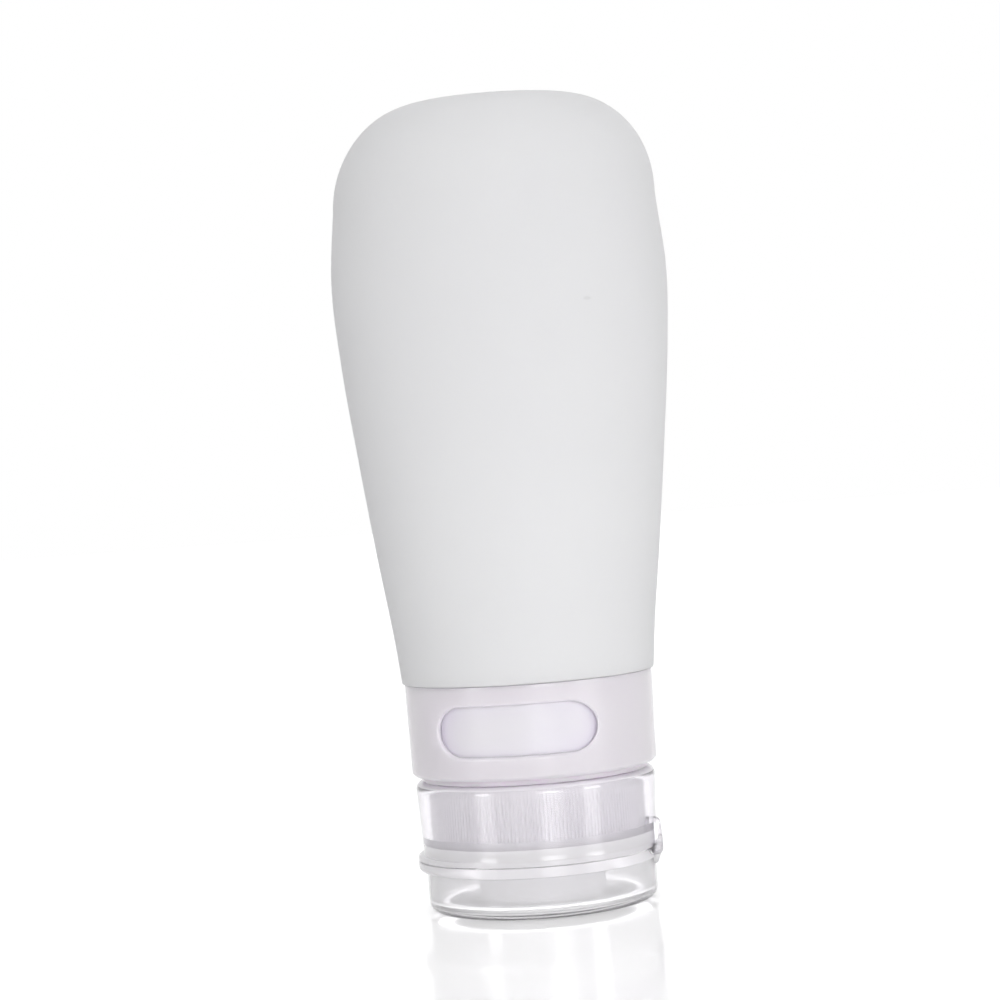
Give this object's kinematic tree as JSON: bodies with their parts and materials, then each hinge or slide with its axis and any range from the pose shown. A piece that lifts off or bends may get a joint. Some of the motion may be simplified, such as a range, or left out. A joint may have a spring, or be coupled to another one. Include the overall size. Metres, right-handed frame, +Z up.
{
  "type": "travel silicone bottle",
  "caption": "Soft squeezable travel bottle that stands on a hinged flip cap, with a threaded neck and a turning collar that has a label window.",
  "frame": {"origin": "middle of the flip lid's flat face, on which the bottle stands", "axes": "+Z up along the bottle's axis towards its closed end, -Y towards the label window, +X towards the lid's hinge"},
  "size_m": [0.0446, 0.0368, 0.1069],
  "materials": {
    "silicone": "matt, milky translucent",
    "violet_plastic": "gloss, translucent violet",
    "lavender_plastic": "satin gloss, translucent pale lavender",
    "label": "matt",
    "clear_plastic": "gloss, milky clear",
    "seal": "matt"
  },
  "bodies": {
    "bottle": {"silicone_tube": "silicone", "threaded_neck": "violet_plastic", "label_ring": "label"},
    "collar": {"window_collar": "lavender_plastic"},
    "cap_seal": {"cap_gasket": "seal"},
    "cap": {"cap_base": "clear_plastic", "slit_valve": "seal", "valve_retainer": "clear_plastic"},
    "lid": {"flip_lid": "clear_plastic"}
  },
  "joints": [
    {"name": "collar_turn", "type": "hinge", "parent": "bottle", "child": "collar", "pos_m": [0, 0, 0.024], "axis": [0, 0, 1], "continuous": true},
    {"name": "cap_travel", "type": "slide", "parent": "bottle", "child": "cap_seal", "axis": [0, 0, -1], "range_m": [0, 0.009]},
    {"name": "cap_turn", "type": "hinge", "parent": "cap_seal", "child": "cap", "pos_m": [0, 0, 0.012], "axis": [0, 0, -1], "range_deg": [0, 1080]},
    {"name": "lid_hinge", "type": "hinge", "parent": "cap", "child": "lid", "pos_m": [0.0152, 0, 0.00688], "axis": [0, -1, 0], "range_deg": [0, 140]}
  ],
  "couplings": [
    {"joint": "cap_travel", "follows": "cap_turn", "m_per_rad": 0.00047746}
  ]
}
